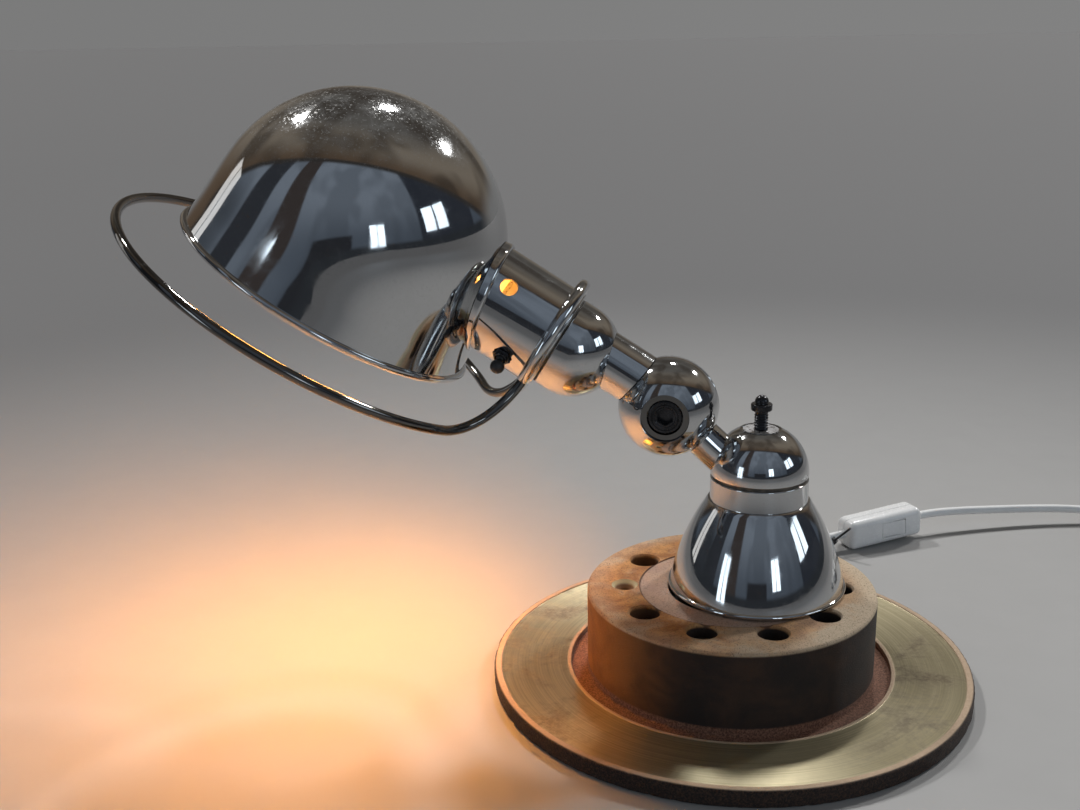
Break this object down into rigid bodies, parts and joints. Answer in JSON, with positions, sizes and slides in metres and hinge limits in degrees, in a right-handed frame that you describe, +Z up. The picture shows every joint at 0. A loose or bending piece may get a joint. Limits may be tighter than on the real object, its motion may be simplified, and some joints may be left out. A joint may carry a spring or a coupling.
{
  "type": "desk lamp",
  "caption": "Desk lamp on an old brake disc: chrome bell, ball knuckle, round chrome shade with a rod guard, lit bulb, toggle, white cord with rocker switch and plug",
  "frame": {"origin": "centre of the brake disc on the table, the ground under the lamp", "axes": "+Z up; +X along the arm from the head back past the bell, so the head and shade reach towards -X; +Y to the side the cord leaves"},
  "size_m": [0.6621, 0.3832, 0.3101],
  "materials": {
    "rusty_iron": "worn",
    "chrome": "polished",
    "steel": "plain",
    "black_steel": "satin",
    "brass": "plain",
    "fibre": "matt",
    "ceramic": "satin",
    "bulb_glass": "clear",
    "black_plastic": "satin",
    "white_plastic": "gloss",
    "white_cord": "satin"
  },
  "bodies": {
    "base": {"brake_disc": "rusty_iron", "bell": "chrome", "centre_post": "steel", "clamp_bar": "steel", "tie_washer": "steel", "tie_nut": "steel", "friction_ring": "fibre", "strain_relief": "white_plastic", "cord_lead": "white_cord", "cord_tie": "black_plastic", "switch_base": "white_plastic", "switch_cover": "white_plastic", "cord_run": "white_cord", "cord_coil": "white_cord", "coil_tie": "black_plastic", "plug_body": "white_plastic", "plug_pins": "steel"},
    "thumb": {"clamp_screw": "black_steel"},
    "shoulder": {"swivel_cap": "chrome", "swivel_bush": "brass", "swivel_spring": "steel", "knuckle_front": "chrome", "knuckle_disc": "fibre", "knuckle_bolt": "black_steel", "knuckle_spring": "steel", "knuckle_nut": "steel"},
    "elbow": {"knuckle_rear": "chrome", "rear_dome": "chrome", "dome_plate": "steel"},
    "head": {"head_pivot": "steel", "head_spring": "steel", "pivot_nut": "steel", "head_washer": "fibre", "socket_shell": "chrome", "shade_flange": "chrome", "shade": "chrome", "shade_nut": "steel", "guard": "chrome", "lampholder": "ceramic", "screw_shell": "brass", "centre_contact": "brass", "bulb_cap": "steel", "bulb_glass": "bulb_glass", "toggle_case": "black_plastic", "toggle_bush": "black_plastic"},
    "toggle": {"toggle_lever": "black_plastic"},
    "rocker": {"switch_rocker": "white_plastic"}
  },
  "joints": [
    {"name": "base_swivel", "type": "hinge", "parent": "base", "child": "shoulder", "pos_m": [0.0132, 0.0063, 0.1135], "axis": [0, 0, 1], "range_deg": [-165, 165]},
    {"name": "clamp_turn", "type": "hinge", "parent": "base", "child": "thumb", "pos_m": [0.0132, 0.0063, 0.14], "axis": [0, 0, 1], "range_deg": [-180, 180]},
    {"name": "knuckle", "type": "hinge", "parent": "shoulder", "child": "elbow", "pos_m": [-0.0344, 0.0063, 0.14695], "axis": [0, 1, 0], "range_deg": [-35, 85]},
    {"name": "head_swivel", "type": "hinge", "parent": "elbow", "child": "head", "pos_m": [-0.03546, 0.0063, 0.14526], "axis": [-0.8471, 0, 0.5314], "range_deg": [-165, 165]},
    {"name": "toggle_tilt", "type": "hinge", "parent": "head", "child": "toggle", "pos_m": [-0.11744, -0.01707, 0.17641], "axis": [-0.4283, 0.592, -0.6827], "range_deg": [0, 20]},
    {"name": "rocker_tilt", "type": "hinge", "parent": "base", "child": "rocker", "pos_m": [0.09946, 0.19567, 0.0115], "axis": [-0.0441, -0.0281, 0.9986], "range_deg": [0, 14]}
  ]
}
